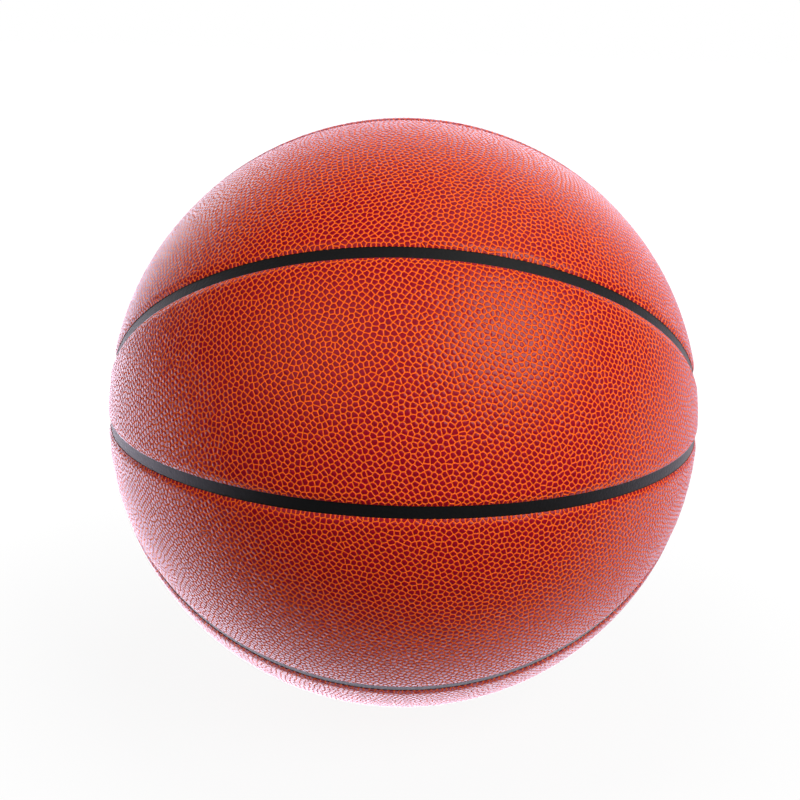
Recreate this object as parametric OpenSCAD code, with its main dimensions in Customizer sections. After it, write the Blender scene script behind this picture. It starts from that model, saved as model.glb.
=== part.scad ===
// Laminated basketball, size 7, in millimetres.
// The origin is the ball's centre and +Z is up. The equator seam lies in the plane z = 0. The
// meridian seam lies in the plane y = 0 and runs over both poles. Two oval loop seams ring the
// poles and cross the meridian near +X and -X. The front panels face -Y.
// Every seam is a channel between leather panels, with a black rubber strip as its floor.

/* [Ball] */
// Outside diameter over the leather, 760 mm round
ball_d = 242; // [180:1:260]

/* [Layers] */
// Thickness of the composite leather panels
panel_t = 1.8; // [1.6:0.1:2.6]
// Thickness of the vulcanised rubber carcass
carcass_t = 1.1; // [0.8:0.1:2]
// Thickness of the wound nylon thread
winding_t = 0.5; // [0.3:0.1:1]
// Thickness of the butyl bladder
bladder_t = 0.8; // [0.6:0.1:1.5]
// Film of cement between one layer and the next
bond_t = 0.1; // [0.05:0.05:0.2]

/* [Seam paths] */
// Height of the loop seam above the equator at the front, in degrees
loop_front_angle = 43.8; // [41:0.2:46]
// Height of the loop seam above the equator where it crosses the meridian, in degrees
loop_end_angle = 9.5; // [8:0.5:13]
// Radius of the loop's long front and back arcs, in degrees over the ball
long_arc_angle = 88; // [87:0.25:89]

/* [Seam section] */
// Width of the black channel between two leather walls
seam_w = 4.7; // [3.6:0.1:6]
// Depth of the strip's face below the leather
floor_depth = 1; // [0.8:0.05:1.1]
// Reach of the strip's flange under the leather, each side
flange_reach = 1.5; // [1:0.1:2]
// Thickness of the strip's flange
flange_t = 0.4; // [0.3:0.05:0.5]
// Width of the rolled edge of a panel
roll_w = 3.2; // [2:0.1:4]
// Drop of the rolled edge of a panel
roll_drop = 0.7; // [0.4:0.05:0.8]
// Gap between a strip and the leather beside and above it
strip_gap = 0.1; // [0.05:0.05:0.15]
// Gap at the half-lapped end of a strip, and between the butted lengths of a loop strip
lap_gap = 0.1; // [0.05:0.05:0.15]

/* [Valve] */
// Height of the valve above the equator, in degrees
valve_angle = 22; // [18:1:26]
// Diameter of the boot's nose, which fills the hole in the leather
nose_d = 9; // [8:0.1:11]
// Depth of the nose's face below the leather
nose_depth = 0.5; // [0.3:0.1:0.8]
// Chamfer around the nose's face
nose_chamfer = 0.4; // [0.2:0.1:0.6]
// Gap between the nose and each layer around it
nose_gap = 0.15; // [0.1:0.05:0.3]
// Diameter of the boot's flange, bonded inside the bladder
boot_flange_d = 28; // [22:1:34]
// Thickness of the boot's flange
boot_flange_t = 1; // [0.8:0.1:1.5]
// Reach of the boot's stem below the flange
stem_l = 14; // [12:0.5:18]
// Diameter of the boot's stem
stem_d = 8.6; // [8:0.1:11]
// Diameter of the plug's head
head_d = 6; // [5.6:0.1:6.6]
// Thickness of the plug's head
head_t = 1.8; // [1.4:0.1:2.4]
// Depth of the head's face below the nose's face
head_depth = 0.2; // [0.1:0.1:0.4]
// Diameter of the plug's body
plug_d = 4.4; // [4.2:0.1:5]
// Diameter of the plug's retaining lip
lip_d = 6.4; // [5.8:0.1:7]
// Length of the plug's retaining lip
lip_l = 2; // [1.5:0.1:3]
// Gap between the plug and its boot
plug_gap = 0.08; // [0.05:0.01:0.12]
// Diameter of the needle channel
needle_d = 2.1; // [2:0.05:2.4]
// Length of the needle channel's straight wall
needle_l = 9; // [7:0.5:11]
// Diameter of the needle channel's flared mouth
mouth_d = 3.4; // [2.8:0.1:4]
// Depth of the flared mouth
mouth_l = 0.7; // [0.5:0.1:1.2]

/* [Hidden] */
// How far a cut runs past the face that it cuts
overrun = 2;
// How far neighbouring cuts of one loop overlap, in degrees
arc_lap = 0.4;
// Facets of round shapes
$fn = 120;

ball_r = ball_d / 2;
panel_in_r = ball_r - panel_t;
carcass_r = panel_in_r - bond_t;
winding_r = carcass_r - carcass_t - bond_t;
bladder_r = winding_r - winding_t - bond_t;
bladder_in_r = bladder_r - bladder_t;
floor_r = ball_r - floor_depth;
flange_r = panel_in_r + flange_t;
rib_half = seam_w / 2 - strip_gap;
flange_half = seam_w / 2 + flange_reach;
far = ball_d;

// The loop's long arc is a circle about an axis that leans away from it by lean_angle. Its end
// arc is a smaller circle about an axis in the meridian plane, tangent to both long arcs.
lean_angle = loop_front_angle + long_arc_angle - 90;
end_arc_angle = atan(
    (cos(lean_angle) * sin(loop_end_angle) - cos(long_arc_angle))
    / (sin(long_arc_angle) - cos(lean_angle) * cos(loop_end_angle)));
end_axis_angle = loop_end_angle + end_arc_angle;
// Half the turn of each arc between its tangent points, seen from its own axis
long_half_turn = atan2(cos(end_axis_angle), sin(end_axis_angle) * sin(lean_angle));
end_half_turn = atan2(sin(lean_angle), cos(end_axis_angle) * cos(lean_angle));
end_lap = 2 * arc_lap * sin(long_arc_angle) / sin(end_arc_angle);

nose_r = ball_r - nose_depth;
head_r = nose_r - head_depth;
boot_flange_r = bladder_in_r - bond_t;
stem_end_r = boot_flange_r - boot_flange_t - stem_l;
seat_r = head_r - head_t;

leather_colour = [0.74, 0.22, 0.10];
strip_colour = [0.05, 0.05, 0.055];
carcass_colour = [0.16, 0.15, 0.15];
winding_colour = [0.90, 0.89, 0.84];
bladder_colour = [0.12, 0.12, 0.13];
boot_colour = [0.07, 0.07, 0.075];
plug_colour = [0.10, 0.10, 0.105];

// Seam sections. A point is [s, r]: s runs straight across the seam from its middle, r is the
// point's distance from the ball's centre. on_arc puts it at its place about an axis that
// lies angle degrees from the seam's middle.
function rise(p) = sqrt(p[1] * p[1] - p[0] * p[0]);
function on_arc(angle, p) = [
    p[0] * cos(angle) + rise(p) * sin(angle),
    rise(p) * cos(angle) - p[0] * sin(angle)];
function mirrored(points) = [for (p = points) [-p[0], p[1]]];
function reversed(points) = [for (i = [len(points) - 1 : -1 : 0]) points[i]];

// One side of a panel's edge, from its underside up: the skived rebate over the strip's
// flange, then the wall beside the rib
function panel_edge() = [
    [flange_half + strip_gap, panel_in_r - overrun], [flange_half + strip_gap, flange_r + strip_gap],
    [seam_w / 2, flange_r + strip_gap], [seam_w / 2, ball_r + overrun]];

// A rolled edge is part of a second ball, whose centre lies on the seam's axis. That ball meets
// the leather roll_w from the wall and passes roll_drop below it at the wall. side is 1 for a
// panel farther from the axis than the seam, and -1 for a nearer one.
function height(angle, p) = on_arc(angle, p)[1];
function roll_top(side) = [side * (seam_w / 2 + roll_w), ball_r];
function roll_foot(side) = [side * seam_w / 2, ball_r - roll_drop];
function roll_centre(angle, side) =
    (pow(ball_r, 2) - pow(ball_r - roll_drop, 2))
    / (2 * (height(angle, roll_top(side)) - height(angle, roll_foot(side))));
function roll_edge(side) = [
    [side * (seam_w / 2 + roll_w + overrun), floor_r],
    [side * (seam_w / 2 + roll_w + overrun), ball_r + overrun]];
module roll_ball(angle, side) {
    centre = roll_centre(angle, side);
    translate([0, 0, centre])
        sphere(r = sqrt(pow(ball_r, 2) - 2 * centre * height(angle, roll_top(side)) + pow(centre, 2)));
}

// One side of a strip: its flange and its rib
function strip_edge() = [
    [0, panel_in_r], [flange_half, panel_in_r], [flange_half, flange_r],
    [rib_half, flange_r], [rib_half, floor_r], [0, floor_r]];

// One side of the room that a crossing strip needs, open above and below
function lap_edge() = [
    [flange_half + lap_gap, panel_in_r - overrun], [flange_half + lap_gap, flange_r + lap_gap],
    [rib_half + lap_gap, flange_r + lap_gap], [rib_half + lap_gap, floor_r + overrun]];

module seam_section(edge, angle)
    polygon([for (p = concat(edge, reversed(mirrored(edge)))) on_arc(angle, p)]);

// Everything farther from the axis than an edge, and everything nearer to it
module outward_section(edge, angle) {
    points = [for (p = edge) on_arc(angle, p)];
    polygon(concat(points, [[far, points[len(points) - 1][1]], [far, -far], [0, -far]]));
}
module inward_section(edge, angle) {
    points = [for (p = edge) on_arc(angle, p)];
    polygon(concat(points, [[points[len(points) - 1][0], far], [0, far], [0, 0]]));
}

// The axes of the front long arc and of the end arc near +X, stood on by what is built along +Z
module on_long_axis() rotate([-lean_angle, 0, 0]) rotate([0, 0, -90]) children();
module on_end_axis() rotate([0, 90 - end_axis_angle, 0]) children();

// Turns a section half_turn degrees to each side of the middle of its arc
module fan(half_turn)
    rotate([0, 0, -half_turn])
        rotate_extrude(angle = 2 * half_turn)
            children();

// Turns a section about the Y axis, from start degrees above +X
module meridian_arc(start, turn)
    rotate([90, 0, 0])
        rotate([0, 0, start])
            rotate_extrude(angle = turn)
                children();

// What lies outside the loop and what lies inside it, over the front of the ball, up to the
// edges of the panels there
module outside_front_loop() {
    on_long_axis()
        fan(long_half_turn - arc_lap)
            outward_section(mirrored(panel_edge()), long_arc_angle);
    for (turn = [0, 180])
        rotate([0, 0, turn])
            on_end_axis()
                fan(end_half_turn + end_lap)
                    outward_section(mirrored(panel_edge()), end_arc_angle);
}
module inside_front_loop() {
    on_long_axis()
        fan(long_half_turn - arc_lap)
            inward_section(panel_edge(), long_arc_angle);
    for (turn = [0, 180])
        rotate([0, 0, turn])
            on_end_axis()
                fan(180)
                    inward_section(panel_edge(), end_arc_angle);
}

// What the rolled edges take off the leather outside the loop and inside it
module outer_roll(angle, half_turn) difference() {
    fan(half_turn) inward_section(roll_edge(1), angle);
    roll_ball(angle, 1);
}
module inner_roll(angle, half_turn) difference() {
    fan(half_turn) outward_section(roll_edge(-1), angle);
    roll_ball(angle, -1);
}

// The four quarters of the ball, each turned from the front upper one
module front_upper() children();
module back_upper() rotate([0, 0, 180]) children();
module front_lower() rotate([0, 180, 0]) children();
module back_lower() rotate([180, 0, 0]) children();

// The leather over the front of the ball above the equator, with its rolled edge, its wall and
// its skived rebate at the meridian seam
module front_leather() difference() {
    intersection() {
        sphere(r = ball_r);
        rotate([90, 0, 0]) roll_ball(90, -1);
        translate([-far, -far - seam_w / 2, 0]) cube([2 * far, far, far]);
    }
    sphere(r = panel_in_r);
    intersection() {
        sphere(r = flange_r + strip_gap);
        translate([-far, -flange_half - strip_gap, -far]) cube([2 * far, far, 2 * far]);
    }
}

module crown_shape() difference() {
    difference() {
        front_leather();
        on_long_axis() inner_roll(long_arc_angle, long_half_turn - arc_lap);
        for (turn = [0, 180])
            rotate([0, 0, turn])
                on_end_axis() inner_roll(end_arc_angle, end_half_turn + end_lap);
    }
    outside_front_loop();
}

module band_shape() difference() {
    difference() {
        intersection() {
            front_leather();
            roll_ball(90, -1);
        }
        on_long_axis() outer_roll(long_arc_angle, long_half_turn - arc_lap);
        for (turn = [0, 180])
            rotate([0, 0, turn])
                on_end_axis() outer_roll(end_arc_angle, 180);
    }
    rotate_extrude() seam_section(panel_edge(), 90);
    inside_front_loop();
}

// A loop's strip is laid in six lengths with butt joints: a short one round each end, and two
// along the front and the back that meet in the middle, as the photograph shows
function joint_turn(angle) = lap_gap / 2 / (floor_r * sin(angle)) * 180 / PI;
module strip_length(angle, start, stop)
    rotate([0, 0, start + joint_turn(angle)])
        rotate_extrude(angle = stop - start - 2 * joint_turn(angle))
            seam_section(strip_edge(), angle);
module loop_strip_shape()
    for (turn = [0, 180])
        rotate([0, 0, turn]) {
            on_long_axis() strip_length(long_arc_angle, -long_half_turn, 0);
            on_long_axis() strip_length(long_arc_angle, 0, long_half_turn);
            on_end_axis() strip_length(end_arc_angle, -end_half_turn, end_half_turn);
        }

// The half lap that a crossing strip leaves in the strips that meet it
module loop_lap()
    on_end_axis() fan(end_half_turn / 2) seam_section(lap_edge(), end_arc_angle);
module equator_lap()
    rotate_extrude() seam_section(lap_edge(), 90);

module meridian_strip_shape() difference() {
    meridian_arc(loop_end_angle, 180 - 2 * loop_end_angle) seam_section(strip_edge(), 90);
    loop_lap();
    rotate([0, 0, 180]) loop_lap();
}

module link_strip_shape() difference() {
    meridian_arc(0, loop_end_angle) seam_section(strip_edge(), 90);
    equator_lap();
    loop_lap();
}

// The valve is built along +Z and turned to its place in the back upper band panel
module at_valve() rotate([valve_angle - 90, 0, 0]) children();

module valve_hole()
    at_valve()
        cylinder(h = ball_r + overrun, d = nose_d + 2 * nose_gap);

module shell(inner, outer) difference() {
    sphere(r = outer);
    sphere(r = inner);
}

module bladder()
    color(bladder_colour) difference() {
        shell(bladder_in_r, bladder_r);
        valve_hole();
    }

module thread_winding()
    color(winding_colour) difference() {
        shell(winding_r - winding_t, winding_r);
        valve_hole();
    }

module carcass()
    color(carcass_colour) difference() {
        shell(carcass_r - carcass_t, carcass_r);
        valve_hole();
    }

module equator_strip()
    color(strip_colour) rotate_extrude() seam_section(strip_edge(), 90);
module upper_loop_strip()
    color(strip_colour) loop_strip_shape();
module lower_loop_strip()
    color(strip_colour) rotate([180, 0, 0]) loop_strip_shape();
module upper_meridian_strip()
    color(strip_colour) meridian_strip_shape();
module lower_meridian_strip()
    color(strip_colour) rotate([180, 0, 0]) meridian_strip_shape();
module upper_right_link_strip()
    color(strip_colour) front_upper() link_strip_shape();
module upper_left_link_strip()
    color(strip_colour) back_upper() link_strip_shape();
module lower_right_link_strip()
    color(strip_colour) back_lower() link_strip_shape();
module lower_left_link_strip()
    color(strip_colour) front_lower() link_strip_shape();

module front_upper_band_panel()
    color(leather_colour) front_upper() band_shape();
module back_upper_band_panel()
    color(leather_colour) difference() {
        back_upper() band_shape();
        valve_hole();
    }
module front_lower_band_panel()
    color(leather_colour) front_lower() band_shape();
module back_lower_band_panel()
    color(leather_colour) back_lower() band_shape();

module front_upper_crown_panel()
    color(leather_colour) front_upper() crown_shape();
module back_upper_crown_panel()
    color(leather_colour) back_upper() crown_shape();
module front_lower_crown_panel()
    color(leather_colour) front_lower() crown_shape();
module back_lower_crown_panel()
    color(leather_colour) back_lower() crown_shape();

module valve_boot()
    color(boot_colour) at_valve() rotate_extrude() difference() {
        polygon([
            [0, stem_end_r], [stem_d / 2, stem_end_r], [stem_d / 2, boot_flange_r - boot_flange_t],
            on_arc(0, [boot_flange_d / 2, boot_flange_r - boot_flange_t]),
            on_arc(0, [boot_flange_d / 2, boot_flange_r]),
            on_arc(0, [nose_d / 2, boot_flange_r]), [nose_d / 2, nose_r - nose_chamfer],
            [nose_d / 2 - nose_chamfer, nose_r], [0, nose_r]]);
        polygon([
            [0, stem_end_r - overrun], [plug_d / 2 + plug_gap, stem_end_r - overrun],
            [plug_d / 2 + plug_gap, seat_r - plug_gap], [head_d / 2 + plug_gap, seat_r - plug_gap],
            [head_d / 2 + plug_gap, nose_r + overrun], [0, nose_r + overrun]]);
    }

module valve_plug()
    color(plug_colour) at_valve() rotate_extrude() difference() {
        polygon([
            [0, stem_end_r - plug_gap - lip_l], [plug_d / 2, stem_end_r - plug_gap - lip_l],
            [lip_d / 2, stem_end_r - plug_gap - lip_l / 2], [lip_d / 2, stem_end_r - plug_gap],
            [plug_d / 2, stem_end_r - plug_gap], [plug_d / 2, seat_r],
            [head_d / 2, seat_r], [head_d / 2, head_r], [0, head_r]]);
        polygon([
            [0, head_r - mouth_l - needle_l - needle_d / 2],
            [needle_d / 2, head_r - mouth_l - needle_l], [needle_d / 2, head_r - mouth_l],
            [mouth_d / 2, head_r], [mouth_d / 2, head_r + overrun], [0, head_r + overrun]]);
    }

bladder();
thread_winding();
carcass();
equator_strip();
upper_loop_strip();
lower_loop_strip();
upper_meridian_strip();
lower_meridian_strip();
upper_right_link_strip();
upper_left_link_strip();
lower_right_link_strip();
lower_left_link_strip();
front_upper_band_panel();
back_upper_band_panel();
front_lower_band_panel();
back_lower_band_panel();
front_upper_crown_panel();
back_upper_crown_panel();
front_lower_crown_panel();
back_lower_crown_panel();
valve_boot();
valve_plug();
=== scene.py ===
# %% [markdown]
# A full-size basketball, dressed from its packed construction model. The model holds every layer
# at its real size: bladder, thread winding, carcass, seam strips, eight cover panels and the valve.
# This lesson gives the rubber and leather their finishes, makes the pebbled face of each panel as
# real geometry, and lights the ball softly in front of white. Lengths are in metres, and the ball's
# centre is the origin.
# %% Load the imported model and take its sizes
import math

import bpy
import numpy as np
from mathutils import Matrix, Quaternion, Vector
from mathutils.geometry import delaunay_2d_cdt


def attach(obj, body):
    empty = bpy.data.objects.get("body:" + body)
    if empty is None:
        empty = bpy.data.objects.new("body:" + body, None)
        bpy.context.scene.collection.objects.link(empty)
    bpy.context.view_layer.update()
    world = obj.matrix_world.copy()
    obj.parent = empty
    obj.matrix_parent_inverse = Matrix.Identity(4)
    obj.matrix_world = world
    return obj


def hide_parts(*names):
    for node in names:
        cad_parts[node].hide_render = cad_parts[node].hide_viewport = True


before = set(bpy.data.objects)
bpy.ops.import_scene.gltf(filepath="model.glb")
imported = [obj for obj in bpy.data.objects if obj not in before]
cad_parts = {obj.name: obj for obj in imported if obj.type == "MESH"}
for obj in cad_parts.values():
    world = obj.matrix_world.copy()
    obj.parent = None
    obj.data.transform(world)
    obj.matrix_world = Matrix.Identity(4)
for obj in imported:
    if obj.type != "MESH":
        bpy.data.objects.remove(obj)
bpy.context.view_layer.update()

MM = 0.001
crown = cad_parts["front_upper_crown_panel"].data
ball_r = round(max(corner.co.length for corner in crown.vertices), 5)
print("ball radius in mm:", round(ball_r / MM, 3), "pieces:", len(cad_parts))

# %% [markdown]
# The photograph was taken from a little above the ball's middle, from about 0.6 m away, with a
# slight clockwise turn of the picture. A constraint that tracks the ball would put it exactly in
# the middle of the picture, and in the photograph it lies about 12 pixels lower. So the aim is
# worked out as three turns: at the ball, round the line of sight, and aside by the angle of the
# pixel where the ball's centre falls. No lens shift is needed.
# %% Camera
photo_side_px = 800
ball_centre_px = (403.2, 411.8)
camera_distance = 0.605
camera_elevation = math.radians(16.5)
picture_turn = math.radians(1.65)
sensor_width_mm = 36
lens_mm = 65

camera_data = bpy.data.cameras.new("photo_camera")
camera_data.sensor_width = sensor_width_mm
camera_data.lens = lens_mm
camera = bpy.data.objects.new("photo_camera", camera_data)
bpy.context.scene.collection.objects.link(camera)
bpy.context.scene.camera = camera
camera.location = camera_distance * Vector(
    (0, -math.cos(camera_elevation), math.sin(camera_elevation)))
focal_px = lens_mm / sensor_width_mm * photo_side_px
half_side_px = photo_side_px / 2
towards_ball = Vector(
    (ball_centre_px[0] - half_side_px, half_side_px - ball_centre_px[1], -focal_px)).normalized()
aim = (-camera.location).to_track_quat("-Z", "Y")
aim = aim @ Quaternion((0, 0, 1), picture_turn)
aim = aim @ towards_ball.rotation_difference(Vector((0, 0, -1)))
camera.rotation_mode = "QUATERNION"
camera.rotation_quaternion = aim
print("camera at", [round(c, 4) for c in camera.location])

# %% [markdown]
# Every node tree below, for materials, for the world and for geometry, is built with one small
# function. It adds a node, sets its options, and fills its inputs: a value is set on the socket
# itself, and an output of another node is linked to it. Colours are written as the sRGB hex values
# that a colour picker shows, and one function turns them into the linear values a shader works in.
# %% Helpers for colours and node trees
def linear(hex_colour):
    """The linear colour for an sRGB hex value, by the sRGB standard's own curve."""
    parts = [int(hex_colour[i:i + 2], 16) / 255 for i in (0, 2, 4)]
    parts = [p / 12.92 if p <= 0.04045 else ((p + 0.055) / 1.055) ** 2.4 for p in parts]
    return (*parts, 1.0)


def add(tree, kind, inputs=None, **options):
    """A new node in the tree, with its options set and its inputs filled or linked."""
    node = tree.nodes.new(kind)
    for name, value in options.items():
        setattr(node, name, value)
    for name, value in (inputs or {}).items():
        if isinstance(value, bpy.types.NodeSocket):
            tree.links.new(value, node.inputs[name])
        else:
            node.inputs[name].default_value = value
    return node


def new_material(name):
    """An empty material, and its node tree."""
    material = bpy.data.materials.new(name)
    material.use_nodes = True
    material.node_tree.nodes.clear()
    return material, material.node_tree


print("sRGB 808080 in linear light:", round(linear("808080")[0], 3))

# %% [markdown]
# The setting is a white sweep in a dim room: a pale floor under the ball, and white behind it. A
# plain white world would light the ball flat and make it shine all over. So the light rays are told
# apart. To the camera the world is white. In reflections it is bright behind the ball and dim in
# front, which keeps the colours deep in the middle and gives the rims their pale sheen. On the ball
# itself it is only an even, soft fill.
# %% World and its reflections
fill_strength = 0.18
room_glow = 0.01
sweep_glow = 4.6
sweep_tint = "F1EAFF"
sweep_starts = 0.45
sweep_full = 0.95

world = bpy.data.worlds.new("white_sweep")
bpy.context.scene.world = world
world.use_nodes = True
sky = world.node_tree
sky.nodes.clear()
ray = add(sky, "ShaderNodeLightPath")
seen = add(sky, "ShaderNodeMath", {0: ray.outputs["Is Camera Ray"],
                                   1: ray.outputs["Is Transmission Ray"]}, operation="MAXIMUM")
bearing = add(sky, "ShaderNodeTexCoord")
bearing = add(sky, "ShaderNodeSeparateXYZ", {0: bearing.outputs["Generated"]})
sweep = add(sky, "ShaderNodeMapRange", {
    "Value": bearing.outputs["Y"], "From Min": sweep_starts, "From Max": sweep_full,
    "To Min": room_glow, "To Max": sweep_glow})
fill = add(sky, "ShaderNodeBackground", {"Color": linear("FFFFFF"), "Strength": fill_strength})
glossy = add(sky, "ShaderNodeBackground", {"Color": linear(sweep_tint),
                                           "Strength": sweep.outputs["Result"]})
white = add(sky, "ShaderNodeBackground", {"Color": linear("FFFFFF"), "Strength": 1.0})
mixed = add(sky, "ShaderNodeMixShader", {0: ray.outputs["Is Glossy Ray"], 1: fill.outputs[0],
                                         2: glossy.outputs[0]})
mixed = add(sky, "ShaderNodeMixShader", {0: seen.outputs[0], 1: mixed.outputs[0],
                                         2: white.outputs[0]})
add(sky, "ShaderNodeOutputWorld", {"Surface": mixed.outputs[0]})
print("world nodes:", len(sky.nodes))

# %% [markdown]
# The floor is a matt board. To the camera it melts into the white behind it: near the ball a fifth
# of what shows is the lit board, which carries the ball's shadow, and further out none of it. The
# rest is a white a little over full strength, so that the two together still look white. In
# reflections the floor is bright under and behind the ball and dim in front, as the room is, and
# brighter on its left. The board's own paint is grey, which keeps the light it throws up low.
# %% Floor
floor_side = 12.0
board_paint = "8C8C8C"
board_share_near = 0.2
shadow_near = 0.12
shadow_far = 0.6
floor_white = 1.15
left_glow = 6.6
right_glow = 2.9
left_glow_to_x = 0.0
right_glow_from_x = 0.14
dim_to_y = -0.14
bright_from_y = -0.06

bpy.ops.mesh.primitive_plane_add(size=floor_side, location=(0, 0, -ball_r))
floor = bpy.context.object
floor.name = "white_floor"
floor_paint, tree = new_material("matt_white_board")
ray = add(tree, "ShaderNodeLightPath")
place = add(tree, "ShaderNodeTexCoord").outputs["Object"]
from_foot = add(tree, "ShaderNodeVectorMath", {0: place}, operation="LENGTH")
bearing = add(tree, "ShaderNodeSeparateXYZ", {0: place})
board = add(tree, "ShaderNodeBsdfDiffuse", {"Color": linear(board_paint)})
white = add(tree, "ShaderNodeEmission", {"Color": linear("FFFFFF"), "Strength": floor_white})
share = add(tree, "ShaderNodeMapRange", {
    "Value": from_foot.outputs["Value"], "From Min": shadow_near, "From Max": shadow_far,
    "To Min": 1 - board_share_near, "To Max": 1.0})
shown = add(tree, "ShaderNodeMixShader", {0: share.outputs["Result"], 1: board.outputs[0],
                                          2: white.outputs[0]})
across = add(tree, "ShaderNodeMapRange", {
    "Value": bearing.outputs["X"], "From Min": left_glow_to_x, "From Max": right_glow_from_x,
    "To Min": left_glow, "To Max": right_glow})
sweep = add(tree, "ShaderNodeMapRange", {
    "Value": bearing.outputs["Y"], "From Min": dim_to_y, "From Max": bright_from_y,
    "To Min": room_glow, "To Max": across.outputs["Result"]})
mirrored_white = add(tree, "ShaderNodeEmission", {"Color": linear(sweep_tint),
                                                  "Strength": sweep.outputs["Result"]})
surface = add(tree, "ShaderNodeMixShader", {0: ray.outputs["Is Glossy Ray"], 1: board.outputs[0],
                                            2: mirrored_white.outputs[0]})
surface = add(tree, "ShaderNodeMixShader", {0: ray.outputs["Is Camera Ray"], 1: surface.outputs[0],
                                            2: shown.outputs[0]})
add(tree, "ShaderNodeOutputMaterial", {"Surface": surface.outputs[0]})
floor.data.materials.append(floor_paint)
print("floor nodes:", len(tree.nodes))

# %% [markdown]
# Five soft lamps model the form: a broad key from the upper right, a weak wide one from the left,
# one from above, and one behind the ball on each side. They are round area lamps, because a small
# or a square lamp would leave a small or a square highlight on the pebbles.
# %% Lamps
def soft_lamp(name, place, width, watts):
    """A round lamp, aimed at the ball."""
    lamp_data = bpy.data.lights.new(name, "AREA")
    lamp_data.shape = "DISK"
    lamp_data.size = width
    lamp_data.energy = watts
    lamp = bpy.data.objects.new(name, lamp_data)
    lamp.location = place
    lamp.rotation_euler = (-Vector(place)).to_track_quat("-Z", "Y").to_euler()
    bpy.context.scene.collection.objects.link(lamp)


soft_lamp("key_lamp", place=(1.0, -0.95, 1.05), width=1.2, watts=27)
soft_lamp("left_front_lamp", place=(-0.9, -1.2, 1.0), width=1.6, watts=6)
soft_lamp("top_lamp", place=(0.5, 0.1, 1.4), width=0.8, watts=1.5)
soft_lamp("left_back_lamp", place=(-0.9, 1.2, 0.5), width=0.9, watts=4)
soft_lamp("right_back_lamp", place=(0.6, 1.5, 0.7), width=0.9, watts=2)

# %% [markdown]
# The cover's eight panels come in two shapes, each repeated four times by half turns. A crown
# panel is half of the lens inside an oval seam, and a band panel lies between an oval and the
# equator. On the ball an oval is four arcs of circles that meet smoothly: two long ones, and a
# small one round each end. The heights at which it passes the front and the ends, and the size of
# the long arc, give all the rest. The valve sits in a back panel. Every panel is worked out as the
# front upper one and turned later, so the valve is placed in front here.
# %% Where the seams run
front_angle = math.radians(43.8)
end_angle = math.radians(9.5)
long_arc = math.radians(88)
lean = front_angle + long_arc - math.pi / 2
end_arc = math.atan((math.cos(lean) * math.sin(end_angle) - math.cos(long_arc))
                    / (math.sin(long_arc) - math.cos(lean) * math.cos(end_angle)))
long_axis = np.array((0, math.sin(lean), math.cos(lean)))
end_axis = np.array((math.cos(end_angle + end_arc), 0, math.sin(end_angle + end_arc)))
valve_angle = math.radians(22)
valve_axis = np.array((0, -math.cos(valve_angle), math.sin(valve_angle)))
print("end arc in degrees:", round(math.degrees(end_arc), 3))


def oval_arc(points):
    """The axis and radius of the upper oval's arc beside each direction, worked out for one quarter."""
    sides = np.where(points < 0, -1.0, 1.0) * (1, -1, 0) + (0, 0, 1)
    beside_end = (points * sides) @ np.cross(long_axis, end_axis) > 0
    axes = np.where(beside_end[:, None], end_axis, long_axis) * sides
    return axes, np.where(beside_end, end_arc, long_arc)


# %% [markdown]
# All the work on a panel is done on directions from the ball's centre, as rows of one array, and
# not on a flat sheet that is bent round the ball afterwards, because that would stretch the
# pebbles. A wall, where a panel ends at a channel, is given by three things. The first is its
# course, which is a circle's axis and its angle from it, or the oval's function. The others are
# half the channel's width, and the side on which the panel lies: +1 outside the circle, -1 inside.
# %% Measure and move directions beside a wall
def wall_angles(points, wall):
    """Each direction's axis, its angle from it, and the wall's angle."""
    course, half, side = wall
    if course is oval_arc:
        axes, radii = oval_arc(points)
    else:
        axes, radii = np.broadcast_to(course[0], points.shape), np.full(len(points), course[1])
    cosines = np.clip((points * axes).sum(1), -1, 1)
    return axes, np.arccos(cosines), radii + side * math.asin(half / ball_r)


def distance_in(points, wall):
    """How far inside the wall each direction is, along the ball's face."""
    _, angles, limits = wall_angles(points, wall)
    return wall[2] * ball_r * (angles - limits)


def inside(points, walls, margin=0.0):
    """Which directions are inside all the walls by more than the margin."""
    return np.all([distance_in(points, wall) > margin for wall in walls], axis=0)


def turned_to(points, axes, angles):
    """Each direction, moved along its great circle through the axis to the given angle."""
    across = points - (points * axes).sum(1)[:, None] * axes
    across /= np.linalg.norm(across, axis=1)[:, None]
    return np.cos(angles)[:, None] * axes + np.sin(angles)[:, None] * across


def mirrored(points, wall):
    """Each direction's mirror image over the wall."""
    axes, angles, limits = wall_angles(points, wall)
    return turned_to(points, axes, 2 * limits - angles)


def pulled_to(points, wall, inset):
    """Each direction, moved to a given distance inside the wall."""
    axes, _, limits = wall_angles(points, wall)
    return turned_to(points, axes, limits + wall[2] * inset / ball_r)


# %% [markdown]
# The channel between two panels is 4.7 mm wide everywhere, as measured in the photograph. A crown
# panel ends at its oval and at the seam over the top, and a band panel at the equator too. The
# valve's hole is one more wall, a small circle. A Boolean could cut it, but would leave slivers of
# pebbles beside it, so the cells are made to end at it, as they do at the channels.
# %% Walls of the panels
channel_half = 2.35 * MM
valve_hole_r = 4.65 * MM
equator = ((np.array((0, 0, 1.0)), math.pi / 2), channel_half, -1)
meridian = ((np.array((0, 1.0, 0)), math.pi / 2), channel_half, 1)
crown_walls = [(oval_arc, channel_half, -1), meridian]
band_walls = [(oval_arc, channel_half, 1), equator, meridian]
valve_wall = ((valve_axis, 0.0), valve_hole_r, 1)
print("walls of a crown and a band panel:", len(crown_walls), len(band_walls))

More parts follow.
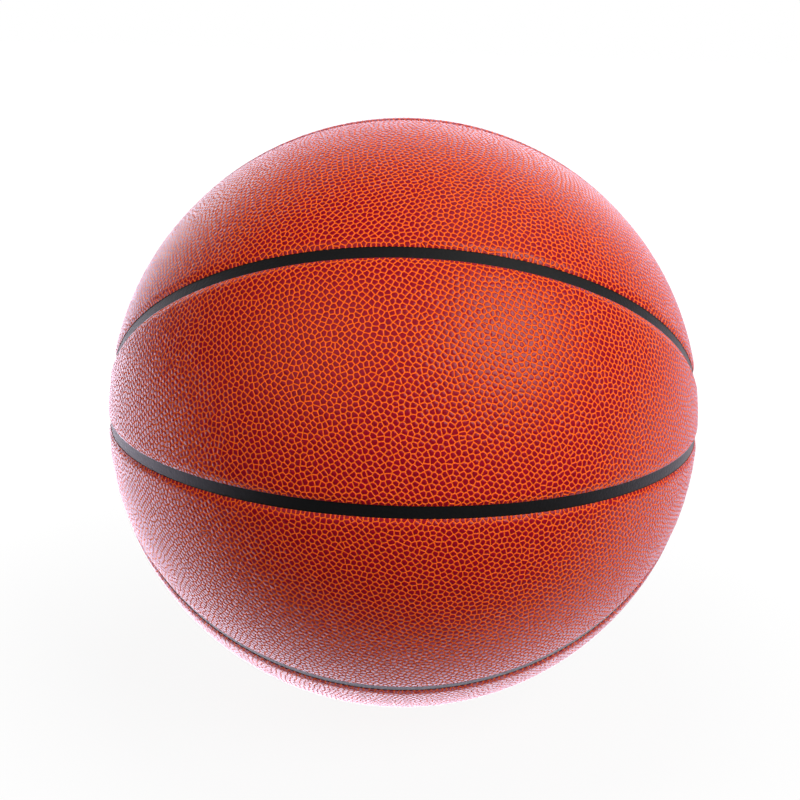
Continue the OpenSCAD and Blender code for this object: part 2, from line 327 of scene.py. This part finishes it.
# %% [markdown]
# A ball's cover is embossed with thousands of low pebbles. They are rounded many-sided plates of
# slightly different sizes, packed close, with narrow valleys between them. A Voronoi texture could
# draw such a net as a bump, but the ball's outline and its seams' edges would stay smooth. So the
# pebbles are real: cells round evenly scattered points. The points start on a spiral that covers
# the ball evenly, with a small random step each.
# %% Scatter points evenly
cell_area = 4.35 * MM ** 2
scatter_share = 0.25
golden_turn = math.pi * (3 - math.sqrt(5))


def spread_points(area, source):
    """Directions over the whole ball, one for each patch of the given area, a little scattered."""
    count = round(4 * math.pi * ball_r ** 2 / area)
    row = np.arange(count)
    height = 1 - (2 * row + 1) / count
    turn = golden_turn * row + 2 * math.pi * source.random()
    ring = np.sqrt(1 - height ** 2)
    points = np.stack((ring * np.cos(turn), ring * np.sin(turn), height), 1)
    points += source.normal(0, scatter_share * math.sqrt(area) / ball_r, points.shape)
    return points / np.linalg.norm(points, axis=1)[:, None]


print("mean area of a pebble in square mm:", round(cell_area / MM ** 2, 2))

# %% [markdown]
# A cell's corners are the middles of the triangles that its point forms with its neighbours, so
# the points are joined by triangles first. Blender's own Delaunay function works on a flat sheet,
# and a stereographic map gives it one on which the triangles come out as they are on the ball.
# Points near an edge are mirrored over it, so that the cells end in a clean line at the channel.
# %% Join the points by triangles
mirror_reach = 4 * MM
same_place = 1e-9
all_triangles = 0
triangles_inside = 1


def all_images(seeds, walls):
    """The seeds, and their mirror images over the walls and the corners near them."""
    images = [seeds]
    for i, wall in enumerate(walls):
        near = seeds[distance_in(seeds, wall) < mirror_reach]
        once = mirrored(near, wall)
        images.append(once)
        for other in walls[i + 1:]:
            depth = distance_in(once, other)
            images.append(mirrored(once[(depth > 0) & (depth < mirror_reach)], other))
    return np.vstack(images)


def flat_map(points, middle):
    """A stereographic map round the middle direction, which keeps circles round."""
    across = np.cross((0, 0, 1.0), middle)
    across /= np.linalg.norm(across)
    up = np.cross(middle, across)
    return np.stack((points @ across, points @ up), 1) / (1 + points @ middle)[:, None]


def triangles_of(points, middle, edges=()):
    """Triangles between all the points or, where border edges are given, those inside them."""
    flat = [Vector(p) for p in flat_map(points, middle).tolist()]
    wanted = triangles_inside if edges else all_triangles
    _, _, faces, origin, _, _ = delaunay_2d_cdt(flat, list(edges), [], wanted, same_place)
    first = np.array([o[0] if o else -1 for o in origin])
    return first[np.array(faces)]


# %% [markdown]
# The triangles' middles, sorted by their bearing from the cell's own point, give its outline. A
# Dual Mesh node draws the same net, but a panel needs the corners as numbers, to put them on a wall
# and to know which sides are on its border.
# %% Draw the cells round the points
def cells_of(seeds, walls, middle):
    """A row for each corner of each cell, in order round it: cell and corner. Then the corners."""
    points = all_images(seeds, walls)
    triangles = triangles_of(points, middle)
    a, b, c = (points[triangles[:, i]] for i in range(3))
    corners = np.cross(b - a, c - a)
    corners /= np.linalg.norm(corners, axis=1)[:, None]
    corners *= np.sign((corners * a).sum(1))[:, None]
    cell = triangles.ravel()
    corner = np.repeat(np.arange(len(triangles)), 3)
    kept = cell < len(seeds)
    cell, corner = cell[kept], corner[kept]
    centre = seeds[cell]
    east = np.cross((0, 0, 1.0), centre)
    east /= np.linalg.norm(east, axis=1)[:, None]
    north = np.cross(centre, east)
    reach = corners[corner] - centre
    turn = np.arctan2((reach * north).sum(1), (reach * east).sum(1))
    order = np.lexsort((turn, cell))
    return cell[order], corner[order], corners


# %% [markdown]
# Cells round scattered points are uneven, and real pebbles are not. Moving each point to the middle
# of its own cell a few times evens them out, and few enough rounds leave them different. The
# evening is done on a slightly larger panel, so that the channel's line then cuts the pebbles
# anywhere, as a knife cuts leather.
# %% Even the cells
evening_rounds = 4
overhang = 1.3 * MM
least_from_edge = 0.35 * MM
cut_reach = 0.6 * MM


def following(cell):
    """The row after each row, going round its own cell."""
    rows = np.arange(len(cell))
    starts = np.flatnonzero(np.r_[True, cell[1:] != cell[:-1]])
    after = rows + 1
    ends = np.r_[starts[1:], len(cell)] - 1
    after[ends] = starts
    return after


def evened(seeds, walls, middle):
    """Every seed, moved to the middle of its cell."""
    cell, corner, corners = cells_of(seeds, walls, middle)
    after = following(cell)
    a, b, c = seeds[cell], corners[corner], corners[corner[after]]
    area = np.linalg.norm(np.cross(b - a, c - a), axis=1)
    middles = [np.bincount(cell, area * (a + b + c)[:, i], len(seeds)) for i in range(3)]
    moved = np.stack(middles, 1)
    return moved / np.linalg.norm(moved, axis=1)[:, None]


def brought_in(seeds, walls):
    """The panel's seeds. Those just past a wall or very near it move in, and make short cut pebbles."""
    for wall in walls:
        depth = distance_in(seeds, wall)
        near = (depth > -cut_reach) & (depth < least_from_edge)
        seeds = np.where(near[:, None], pulled_to(seeds, wall, least_from_edge), seeds)
    return seeds[inside(seeds, walls)]


# %% [markdown]
# Where four cells nearly meet in one corner, one side is very short, and its faces would be slivers
# that nobody sees. So its two ends are made one corner here, before there are any faces to mend.
# %% Take out short sides
short_side = 0.16 * MM


def joined_corners(cell, corner, corners):
    """Corners closer than the shortest side that is wanted become one corner."""
    after = following(cell)
    start, end = corner, corner[after]
    gap = np.linalg.norm(corners[start] - corners[end], axis=1) * ball_r
    start, end = start[gap < short_side], end[gap < short_side]
    label = np.arange(len(corners))
    while len(start):
        lowest = np.minimum(label[start], label[end])
        if (label[start] == lowest).all() and (label[end] == lowest).all():
            break
        np.minimum.at(label, start, lowest)
        np.minimum.at(label, end, lowest)
    used = np.unique(corner)
    total = np.stack([np.bincount(label[used], corners[used, i], len(corners)) for i in range(3)], 1)
    total[total.any(1) == 0] = 1
    total /= np.linalg.norm(total, axis=1)[:, None]
    corner = label[corner]
    kept = corner != corner[after]
    return cell[kept], corner[kept], total


# %% [markdown]
# A panel has to be one closed shell, or it would be a sheet without thickness where a seam lets the
# eye in. This small class collects the shell's points as directions with a radius each, its faces,
# and for each face's corners a place on a flat map. The map is there so that the colours can be
# painted on a picture: the pebbled face fills most of the square, the underside lies smaller above
# it, and the walls run along the top as straight strips.
# %% Collect the points and faces of a closed shell
face_area = np.array(((0.01, 0.01), (0.99, 0.66)))
underside_area = np.array(((0.01, 0.69), (0.60, 0.89)))
strip_ends = (0.01, 0.99)
wall_strips_from = 0.91
wall_strip_step = 0.008
wall_strip_lines = 4


class Shell:
    """Directions from the ball's centre with their radii, faces between them, and the faces' map."""

    def __init__(self):
        self.directions = np.empty((0, 3))
        self.radii = np.empty(0)
        self.faces = []
        self.map_places = []

    def add_points(self, directions, radius):
        """Adds points at one radius, or one each, and gives their numbers."""
        first = len(self.directions)
        self.directions = np.vstack((self.directions, directions))
        self.radii = np.r_[self.radii, np.broadcast_to(radius, len(directions))]
        return list(range(first, len(self.directions)))

    def add_faces(self, faces, places):
        """Adds faces, with a map place for each of their corners in turn."""
        self.faces += faces
        self.map_places += places


def fitted(flat, area):
    """Flat places, stretched to fill an area of the map."""
    least, most = flat.min(0), flat.max(0)
    return area[0] + (flat - least) / (most - least) * (area[1] - area[0])


# %% [markdown]
# The leather rolls down to the channel on both sides. A bevel could round the panel's edge, but the
# roll is wider than a pebble, so a rule for the radius gives it, and the pebbles follow that. The
# cells' corners beside a wall are put exactly on it, and the sides that only one cell has are the
# panel's border.
# %% Shape of the face and its border
roll_width = 3.2 * MM
roll_drop = 0.7 * MM
dome = 0.05 * MM
snap_reach = 0.1 * MM


def face_radius(points, walls):
    """The panel's outer radius, which falls away in a round roll beside each wall."""
    depth = np.min([distance_in(points, wall) for wall in walls], axis=0)
    share = np.clip(1 - depth / roll_width, 0, 1)
    return ball_r - dome - roll_drop * share ** 2


def snapped(corners, walls):
    """The corners, with those that lie beside a wall put exactly on it."""
    gaps = np.abs([distance_in(corners, wall) for wall in walls])
    nearest = gaps.argmin(0)
    for i, wall in enumerate(walls):
        chosen = (nearest == i) & (gaps[i] < snap_reach)
        corners[chosen] = pulled_to(corners[chosen], wall, 0.0)
    return corners


def on_border(corner, after):
    """Which sides belong to one cell only, and so lie on the panel's edge."""
    ends = np.sort(np.stack((corner, corner[after]), 1), 1)
    _, back, times = np.unique(ends, axis=0, return_inverse=True, return_counts=True)
    return times[back.ravel()] == 1


def outline_loops(start, end):
    """The border's points in order, one list for each closed line."""
    after = dict(zip(start.tolist(), end.tolist()))
    loops = []
    while after:
        first, here = after.popitem()
        loop = [first]
        while here != first:
            loop.append(here)
            here = after.pop(here)
        loops.append(loop)
    return loops


print("the roll's width and drop in mm:", round(roll_width / MM, 2), round(roll_drop / MM, 2))

# %% [markdown]
# Each pebble gets a ring of shoulder points, two on each side of its cell, and a summit. That is
# about thirty triangles a pebble, enough for a rounded plate and few enough for forty thousand of
# them, where a displaced fine grid would need millions. The shoulder points still lie on the cell's
# sides here. Each one carries the way it will be moved, and a later step moves them. Where a side
# is the panel's cut edge, the pebble runs out to it and its points stay.
# %% Make the pebbled face
shoulder_shares = (0.33, 0.67)
valley_depth = 0.22 * MM


def pebbled_face(shell, seeds, walls, middle):
    """Adds the face to the shell. Gives its border lines and what each of its points carries."""
    cell, corner, corners = joined_corners(*cells_of(seeds, walls, middle))
    after = following(cell)
    before = np.empty_like(after)
    before[after] = np.arange(len(after))
    used, corner = np.unique(corner, return_inverse=True)
    corners = snapped(corners[used], walls)

    start, end = corners[corner], corners[corner[after]]
    border = on_border(corner, after)
    inward = np.cross(seeds[cell], end - start)
    inward /= np.linalg.norm(inward, axis=1)[:, None]
    inward[border] = 0
    shoulders = np.stack([start + s * (end - start) for s in shoulder_shares], 1).reshape(-1, 3)
    shoulders /= np.linalg.norm(shoulders, axis=1)[:, None]

    first = len(corners) + 2 * np.arange(len(cell))
    second = first + 1
    summit = len(corners) + len(shoulders) + cell
    sides = np.stack((corner, corner[after], second, first), 1)
    faces = sides[~border].tolist()
    faces += np.stack((corner, first, second[before]), 1).tolist()
    faces += np.stack((first, second, summit), 1).tolist()
    faces += np.stack((second[before], first, summit), 1).tolist()
    points = np.vstack((corners, shoulders, seeds))
    shell.add_points(points, face_radius(points, walls))
    places = fitted(flat_map(points, middle), face_area)
    shell.add_faces(faces, places[[i for face in faces for i in face]].tolist())

    flat = np.zeros(len(corners))
    carried = {
        "raised": np.r_[flat, np.ones(len(shoulders)), np.full(len(seeds), 1 + dome / valley_depth)],
        "pebbled": np.ones(len(points)),
        "inward": np.vstack((np.zeros_like(corners), np.repeat(inward, 2, axis=0),
                             np.zeros_like(seeds))),
        "pebble": np.r_[flat, np.repeat(cell, 2), np.arange(len(seeds))]}
    starts = np.concatenate((corner[border], first[border], second[border]))
    ends = np.concatenate((first[border], second[border], corner[after][border]))
    return outline_loops(starts, ends), carried


# %% [markdown]
# Under the border a straight wall goes down to the rebate, the step that lies over the strip's
# flange. Extruding the border would carry all its points down to the underside. The rebate never
# shows, so its faces are written out here, and its inner line has only every tenth of them.
# %% Wall and rebate
leather_thickness = 1.8 * MM
rebate_depth = 1.3 * MM
rebate_width = 1.6 * MM
clear_share = 0.98
underside_step = 10
rebate_r = ball_r - rebate_depth
underside_r = ball_r - leather_thickness


def pulled_in(points, walls, inset):
    """Border directions, moved in from every wall that is closer than the inset."""
    for wall in walls:
        close = distance_in(points, wall) < inset
        points = np.where(close[:, None], pulled_to(points, wall, inset), points)
    return points


def wall_and_rebate(shell, loop, walls, number):
    """Adds the wall under one border line, and its rebate. Gives the rebate's inner line."""
    size = len(loop)
    u = np.linspace(*strip_ends, size + 1)
    lowest = wall_strip_lines * number
    v = [wall_strips_from + (lowest + i) * wall_strip_step for i in range(wall_strip_lines)]
    foot = shell.add_points(shell.directions[loop], rebate_r)
    for i in range(size):
        j = (i + 1) % size
        shell.add_faces([[loop[j], loop[i], foot[i], foot[j]]],
                        [(u[i + 1], v[0]), (u[i], v[0]), (u[i], v[1]), (u[i + 1], v[1])])
    picked = np.arange(0, size, underside_step)
    places = pulled_in(shell.directions[np.array(loop)[picked]], walls, rebate_width)
    clear = inside(places, walls, rebate_width * clear_share)
    picked, places = picked[clear].tolist(), places[clear]
    shelf = shell.add_points(places, rebate_r)
    inner = shell.add_points(places, underside_r)
    for k, i in enumerate(picked):
        n = (k + 1) % len(picked)
        stop = picked[n] if n else size + picked[0]
        for m in range(i, stop):
            here, there = m % size, (m + 1) % size
            shell.add_faces([[foot[there], foot[here], shelf[k]]],
                            [(u[here + 1], v[1]), (u[here], v[1]), (u[here], v[2])])
        last = (stop - 1) % size + 1
        shell.add_faces([[foot[stop % size], shelf[k], shelf[n]]],
                        [(u[last], v[1]), (u[last - 1], v[2]), (u[last], v[2])])
        shell.add_faces([[shelf[n], shelf[k], inner[k], inner[n]]],
                        [(u[last], v[2]), (u[last - 1], v[2]), (u[last - 1], v[3]), (u[last], v[3])])
    return inner


print("radius of the rebate and of the underside in mm:", round(rebate_r / MM, 2),
      round(underside_r / MM, 2))

# %% [markdown]
# Inside the rebate the plain underside closes the panel. On the real ball it is the backing, which
# is cemented to the carcass. A Solidify modifier would copy every pebble to the inside, where
# nobody sees them. So the underside is a coarse net of triangles between the rebate's inner line
# and a few scattered points, and the valve's hole stays open in it.
# %% Underside
underside_pitch = 12 * MM
underside_margin = 3 * MM


def underside(shell, lines, walls, middle, source):
    """Closes the panel inside its longest line. Any other line is a hole's, and stays open."""
    spread = spread_points(underside_pitch ** 2, source)
    spread = spread[inside(spread, walls, rebate_width + underside_margin)]
    ids = np.array(sum(lines, []) + shell.add_points(spread, underside_r))
    sizes = [len(line) for line in lines]
    edges = []
    for size in sizes:
        first = len(edges)
        edges += [(first + i, first + (i + 1) % size) for i in range(size)]
    points = shell.directions[ids]
    triangles = triangles_of(points, middle, edges)
    owners = np.repeat(np.arange(len(lines) + 1), [*sizes, len(spread)])[triangles]
    hole = (owners == owners[:, :1]).all(1) & (owners[:, 0] < len(lines))
    hole &= owners[:, 0] != np.argmax(sizes)
    triangles = triangles[~hole]
    a, b, c = (points[triangles[:, i]] for i in range(3))
    outward = (np.cross(b - a, c - a) * a).sum(1) > 0
    triangles[outward] = triangles[outward][:, ::-1]
    places = fitted(flat_map(points, middle), underside_area)
    shell.add_faces(ids[triangles].tolist(), places[triangles.ravel()].tolist())


# %% [markdown]
# A whole panel is made in one quarter of the ball and put in its own by a half turn, which is a
# change of sign on two of the three axes. A half turn keeps the faces pointing outwards, where a
# mirror image would turn them inside out. What the points carry becomes attributes of the mesh:
# how far a point is raised, the way it moves in, its pebble's number, and a mark that tells the
# pebbled face from the cut leather below it.
# %% Make a whole panel
carried_kinds = {"raised": "FLOAT", "pebbled": "FLOAT", "inward": "FLOAT_VECTOR", "pebble": "INT"}


def keep(mesh, title, kind, values):
    """Store a value for each point. The points below the face get zero."""
    rest = np.zeros((len(mesh.vertices) - len(values), *values.shape[1:]))
    field = "vector" if kind == "FLOAT_VECTOR" else "value"
    data = np.concatenate((values, rest)).astype(np.int32 if kind == "INT" else np.float32)
    mesh.attributes.new(title, kind, "POINT").data.foreach_set(field, data.ravel())


def panel_mesh(name, walls, seed_number, turn):
    """A closed panel whose pebbles are still flat, and how many pebbles it has."""
    source = np.random.default_rng(seed_number)
    uncut = [(course, half - overhang, side) for course, half, side in walls]
    seeds = spread_points(cell_area, source)
    seeds = seeds[inside(seeds, uncut)]
    middle = seeds.mean(0) / np.linalg.norm(seeds.mean(0))
    for _ in range(evening_rounds):
        seeds = evened(seeds, uncut, middle)
    seeds = brought_in(seeds, walls)
    shell = Shell()
    loops, carried = pebbled_face(shell, seeds, walls, middle)
    lines = [wall_and_rebate(shell, loop, walls, i) for i, loop in enumerate(loops)]
    underside(shell, lines, walls, middle, source)
    carried["inward"] = carried["inward"] * turn

    mesh = bpy.data.meshes.new(name)
    places = shell.directions * shell.radii[:, None] * turn
    mesh.from_pydata(places.tolist(), [], shell.faces)
    mesh.uv_layers.new(name="OFBake").uv.foreach_set("vector", np.ravel(shell.map_places))
    for title, kind in carried_kinds.items():
        keep(mesh, title, kind, carried[title])
    return mesh, len(seeds)


# %% [markdown]
# The embossing itself is a Geometry Nodes tree, because its sizes are then named inputs that can be
# turned up and down in the modifier. No node cuts cells along a line, so the cells come from the
# code above, and the tree does to them what the hot press does to the leather. Each shoulder point
# moves in by half the valley's width, each valley corner sinks by the depth, and each pebble is
# lowered by a chance amount of up to a hair.
# %% Build the pebbling tree
pebbling_inputs = {"Geometry": "Geometry", "Valley Width": "Float", "Valley Depth": "Float",
                   "Height Spread": "Float", "Seed": "Int", "Material": "Material"}


def pebbling_tree():
    """The tree that embosses a panel's flat cells."""
    tree = bpy.data.node_groups.new("pebbling", "GeometryNodeTree")
    for title, kind in pebbling_inputs.items():
        tree.interface.new_socket(title, in_out="INPUT", socket_type="NodeSocket" + kind)
    tree.interface.new_socket("Geometry", in_out="OUTPUT", socket_type="NodeSocketGeometry")
    given = add(tree, "NodeGroupInput").outputs
    raised, pebbled, inward, pebble = (
        add(tree, "GeometryNodeInputNamedAttribute", {"Name": title}, data_type=kind).outputs[0]
        for title, kind in carried_kinds.items())
    half = add(tree, "ShaderNodeMath", {0: given["Valley Width"], 1: 0.5}, operation="MULTIPLY")
    move_in = add(tree, "ShaderNodeVectorMath", {0: inward, "Scale": half.outputs[0]},
                  operation="SCALE")
    position = add(tree, "GeometryNodeInputPosition")
    outward = add(tree, "ShaderNodeVectorMath", {0: position.outputs[0]}, operation="NORMALIZE")
    sunk = add(tree, "ShaderNodeMath", {0: pebbled, 1: raised}, operation="SUBTRACT")
    depth = add(tree, "ShaderNodeMath", {0: sunk.outputs[0], 1: given["Valley Depth"]},
                operation="MULTIPLY")
    chance = add(tree, "FunctionNodeRandomValue", {"ID": pebble, "Seed": given["Seed"]})
    lower = add(tree, "ShaderNodeMath", {0: chance.outputs[1], 1: given["Height Spread"]},
                operation="MULTIPLY")
    lower = add(tree, "ShaderNodeMath", {0: lower.outputs[0], 1: raised}, operation="MULTIPLY")
    drop = add(tree, "ShaderNodeMath", {0: depth.outputs[0], 1: lower.outputs[0]}, operation="ADD")
    drop = add(tree, "ShaderNodeMath", {0: drop.outputs[0], 1: -1.0}, operation="MULTIPLY")
    move_down = add(tree, "ShaderNodeVectorMath", {0: outward.outputs[0], "Scale": drop.outputs[0]},
                    operation="SCALE")
    move = add(tree, "ShaderNodeVectorMath", {0: move_in.outputs[0], 1: move_down.outputs[0]})
    moved = add(tree, "GeometryNodeSetPosition",
                {"Geometry": given["Geometry"], "Offset": move.outputs[0]})
    real = add(tree, "GeometryNodeRealizeInstances", {"Geometry": moved.outputs[0]})
    painted = add(tree, "GeometryNodeSetMaterial",
                  {"Geometry": real.outputs[0], "Material": given["Material"]})
    add(tree, "NodeGroupOutput", {"Geometry": painted.outputs[0]})
    return tree


pebbling = pebbling_tree()
print("pebbling tree nodes:", len(pebbling.nodes))

# %% [markdown]
# The tree is put on a draft of the panel as a modifier, its inputs are set, and the result is
# copied to a plain mesh, which is all that the finished piece keeps. The faces are shaded smooth,
# apart from steep edges, so that each pebble is round and its valley stays crisp.
# %% Emboss a panel
valley_width = 0.62 * MM
height_spread = 0.04 * MM
sharp_from = math.radians(20)


def set_inputs(modifier, **values):
    """Set a Geometry Nodes modifier's inputs by name, through their socket identifiers."""
    for socket in modifier.node_group.interface.items_tree:
        key = socket.name.lower().replace(" ", "_")
        if socket.in_out == "INPUT" and key in values:
            modifier[socket.identifier] = values[key]


def pebbled_piece(name, mesh, material, seed_number):
    """The finished piece: the panel's mesh after the pebbling tree."""
    draft = bpy.data.objects.new(name + "_draft", mesh)
    bpy.context.scene.collection.objects.link(draft)
    modifier = draft.modifiers.new("pebbling", "NODES")
    modifier.node_group = pebbling
    set_inputs(modifier, valley_width=valley_width, valley_depth=valley_depth,
               height_spread=height_spread, seed=seed_number, material=material)
    ready = draft.evaluated_get(bpy.context.evaluated_depsgraph_get())
    final = bpy.data.meshes.new_from_object(ready)
    bpy.data.objects.remove(draft)
    final.name = name
    final.shade_smooth()
    final.set_sharp_from_angle(angle=sharp_from)
    piece = bpy.data.objects.new(name, final)
    bpy.context.scene.collection.objects.link(piece)
    return piece


print("width and depth of a valley in mm:", round(valley_width / MM, 2), round(valley_depth / MM, 2))

# %% [markdown]
# The cover is composite leather: a microfibre backing under a thin polyurethane skin, coloured and
# embossed in one hot press. The press leaves the bright base colour in the valleys, a redder one on
# their flanks, and a deep crimson top coat on the pebbles, so the eye reads a dark red ball with an
# orange net in it. The top coat's two shades change in patches of about 4 mm. The colours follow
# how far a point is raised, so they need no picture and stay on their pebbles. The cut edge shows
# the dark backing, and its dark colour is also painted shade: it draws the shadow line along the
# channel beside each panel. The valleys are dull and the tops are polished by hands. Polyurethane
# has an IOR of about 1.5, but a rough skin mirrors less at a glance than a smooth one, and a lower
# value gives the rims the shine of the photograph. A Mix node has sockets for every kind of data, so
# its two colours and its result are picked by their numbers.
# %% Composite leather
top_coats = ("80001A", "A20022")
valley_colour = "FF760E"
flank_colour = "D62800"
# The backing's own colour, which on the cut edge is also painted shade: the channel's shadow line.
backing_and_shade_colour = "2E080C"
top_coat_patch = 100 / 26 * MM
patch_detail = 2.0
flank_span = (0.15, 0.75)
top_coat_span = (0.82, 0.98)
face_span = (0.75, 1.0)
polish_span = (0.6, 1.0)
valley_roughness = 0.7
top_roughness = 0.33
skin_ior = 1.34
first_colour, second_colour, mixed_colour = 6, 7, 2


def composite_leather():
    """Leather coloured by how far each point is raised."""
    material, tree = new_material("composite_leather")
    raised = add(tree, "ShaderNodeAttribute", attribute_name="raised")
    pebbled = add(tree, "ShaderNodeAttribute", attribute_name="pebbled")
    place = add(tree, "ShaderNodeTexCoord")
    patches = add(tree, "ShaderNodeTexNoise", {
        "Vector": place.outputs["Object"], "Scale": 1 / top_coat_patch, "Detail": patch_detail})
    flank = add(tree, "ShaderNodeMapRange", {
        "Value": raised.outputs["Fac"], "From Min": flank_span[0], "From Max": flank_span[1]})
    top = add(tree, "ShaderNodeMapRange", {
        "Value": raised.outputs["Fac"], "From Min": top_coat_span[0], "From Max": top_coat_span[1]})
    face = add(tree, "ShaderNodeMapRange", {
        "Value": pebbled.outputs["Fac"], "From Min": face_span[0], "From Max": face_span[1]})
    polish = add(tree, "ShaderNodeMapRange", {
        "Value": raised.outputs["Fac"], "From Min": polish_span[0], "From Max": polish_span[1],
        "To Min": valley_roughness, "To Max": top_roughness})
    tops = add(tree, "ShaderNodeMix", {
        "Factor": patches.outputs["Fac"], first_colour: linear(top_coats[0]),
        second_colour: linear(top_coats[1])}, data_type="RGBA")
    net = add(tree, "ShaderNodeMix", {
        "Factor": flank.outputs["Result"], first_colour: linear(valley_colour),
        second_colour: linear(flank_colour)}, data_type="RGBA")
    colour = add(tree, "ShaderNodeMix", {
        "Factor": top.outputs["Result"], first_colour: net.outputs[mixed_colour],
        second_colour: tops.outputs[mixed_colour]}, data_type="RGBA")
    # Below the face goes the backing colour. On the cut edge it paints the channel's shadow line.
    colour = add(tree, "ShaderNodeMix", {
        "Factor": face.outputs["Result"], first_colour: linear(backing_and_shade_colour),
        second_colour: colour.outputs[mixed_colour]}, data_type="RGBA")
    skin = add(tree, "ShaderNodeBsdfPrincipled", {
        "Base Color": colour.outputs[mixed_colour], "Roughness": polish.outputs["Result"],
        "IOR": skin_ior})
    add(tree, "ShaderNodeOutputMaterial", {"Surface": skin.outputs[0]})
    return material


leather = composite_leather()
print("leather nodes:", len(leather.node_tree.nodes))

# %% [markdown]
# All the rubbers are black with soot. What differs is how each was made: the seam strips are
# extruded and cured against a matt mould, the carcass is vulcanised in one, the bladder is smooth
# butyl, and the valve is moulded. Nothing shows the winding, so it has only the colour and grain of
# nylon. The real grain of these rubbers is finer than 0.3 mm, too fine to show in the render, so it
# is drawn from 1 mm upwards, with finer grain inside it: 10 / 9 stands for nine grains in 10 mm.
# Rubber has an IOR of about 1.52. The strips have a lower one and a powdery bloom instead, which
# turns them grey only at a glance.
# %% Rubbers and thread
rubber_ior = 1.52
bloom_roughness = 0.35
grain_detail = 4.0


def rubber(name, dark, light, roughness, grain_mm, bump_mm, ior=rubber_ior, bloom=0.0):
    """A grained finish between two shades of one colour."""
    material, tree = new_material(name)
    place = add(tree, "ShaderNodeTexCoord")
    grain = add(tree, "ShaderNodeTexNoise", {
        "Vector": place.outputs["Object"], "Scale": 1 / (grain_mm * MM), "Detail": grain_detail})
    colour = add(tree, "ShaderNodeMix", {
        "Factor": grain.outputs["Fac"], first_colour: linear(dark), second_colour: linear(light)},
        data_type="RGBA")
    bump = add(tree, "ShaderNodeBump", {"Height": grain.outputs["Fac"], "Distance": bump_mm * MM})
    body = add(tree, "ShaderNodeBsdfPrincipled", {
        "Base Color": colour.outputs[mixed_colour], "Roughness": roughness, "IOR": ior,
        "Sheen Weight": bloom, "Sheen Roughness": bloom_roughness, "Normal": bump.outputs[0]})
    add(tree, "ShaderNodeOutputMaterial", {"Surface": body.outputs[0]})
    return material


finishes = {
    "strip_rubber": rubber("matt_strip_rubber", "050506", "0C0C0E", roughness=0.6,
                           grain_mm=10 / 9, bump_mm=0.12, ior=1.32, bloom=0.5),
    "carcass_rubber": rubber("vulcanised_carcass_rubber", "1A1A1C", "2A2A2C", roughness=0.7,
                             grain_mm=2.0, bump_mm=0.05),
    "nylon_thread": rubber("wound_nylon_thread", "D8D2C4", "EFEAE0", roughness=0.5,
                           grain_mm=10 / 7, bump_mm=0.05),
    "butyl_rubber": rubber("butyl_bladder_rubber", "18181A", "232325", roughness=0.4, grain_mm=5.0,
                           bump_mm=0.02),
    "valve_rubber": rubber("moulded_valve_rubber", "121214", "202022", roughness=0.5,
                           grain_mm=10 / 7, bump_mm=0.03),
}
print("finishes:", [finish.name for finish in finishes.values()])

# %% [markdown]
# Now the eight panels are made. Turning one finished panel to all its places would repeat the same
# pebbles four times, so each has random points of its own. The back upper band panel also has the
# valve's hole. Each piece takes the place of the plain panel of the construction model. The print
# counts the open edges, those that don't have two faces, and a closed shell has none.
# %% Make the panels
quarters = {"front_upper": (1, 1, 1), "back_upper": (-1, -1, 1),
            "front_lower": (-1, 1, -1), "back_lower": (1, -1, -1)}
valve_panel = "back_upper_band_panel"


def open_edges(mesh):
    """How many of the mesh's edges don't have two faces."""
    edges = np.empty(len(mesh.loops), np.int32)
    mesh.loops.foreach_get("edge_index", edges)
    return int((np.bincount(edges) != 2).sum())


seed_number = 0
for quarter, turn in quarters.items():
    for shape, walls in (("band", band_walls), ("crown", crown_walls)):
        seed_number += 1
        node = f"{quarter}_{shape}_panel"
        if node == valve_panel:
            walls = walls + [valve_wall]
        mesh, pebbles = panel_mesh(node + "_cells", walls, seed_number, np.array(turn))
        piece = pebbled_piece("pebbled_" + node, mesh, leather, seed_number)
        triangles = sum(len(polygon.vertices) - 2 for polygon in piece.data.polygons)
        print(piece.name, "pebbles:", pebbles, "triangles:", triangles,
              "open edges:", open_edges(piece.data))
        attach(piece, "root")
        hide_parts(node)

# %% [markdown]
# The strips, the inner layers and the valve keep their exact solids. Only their material slots
# change, so their sizes and places stay the construction model's.
# %% Dress the other pieces
slot_of = {"bladder": "butyl_rubber", "thread_winding": "nylon_thread",
           "carcass": "carcass_rubber", "valve_boot": "valve_rubber", "valve_plug": "valve_rubber"}
dressed = 0
for name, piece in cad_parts.items():
    if name.endswith("_panel"):
        continue
    finish = finishes[slot_of.get(name, "strip_rubber")]
    for slot in piece.material_slots:
        slot.material = finish
    dressed += 1
print("solids with a new finish:", dressed)

# %% [markdown]
# The last cell sets the plain view of the colours.
# %% Set the plain view of the colours
bpy.context.scene.view_settings.view_transform = "Standard"
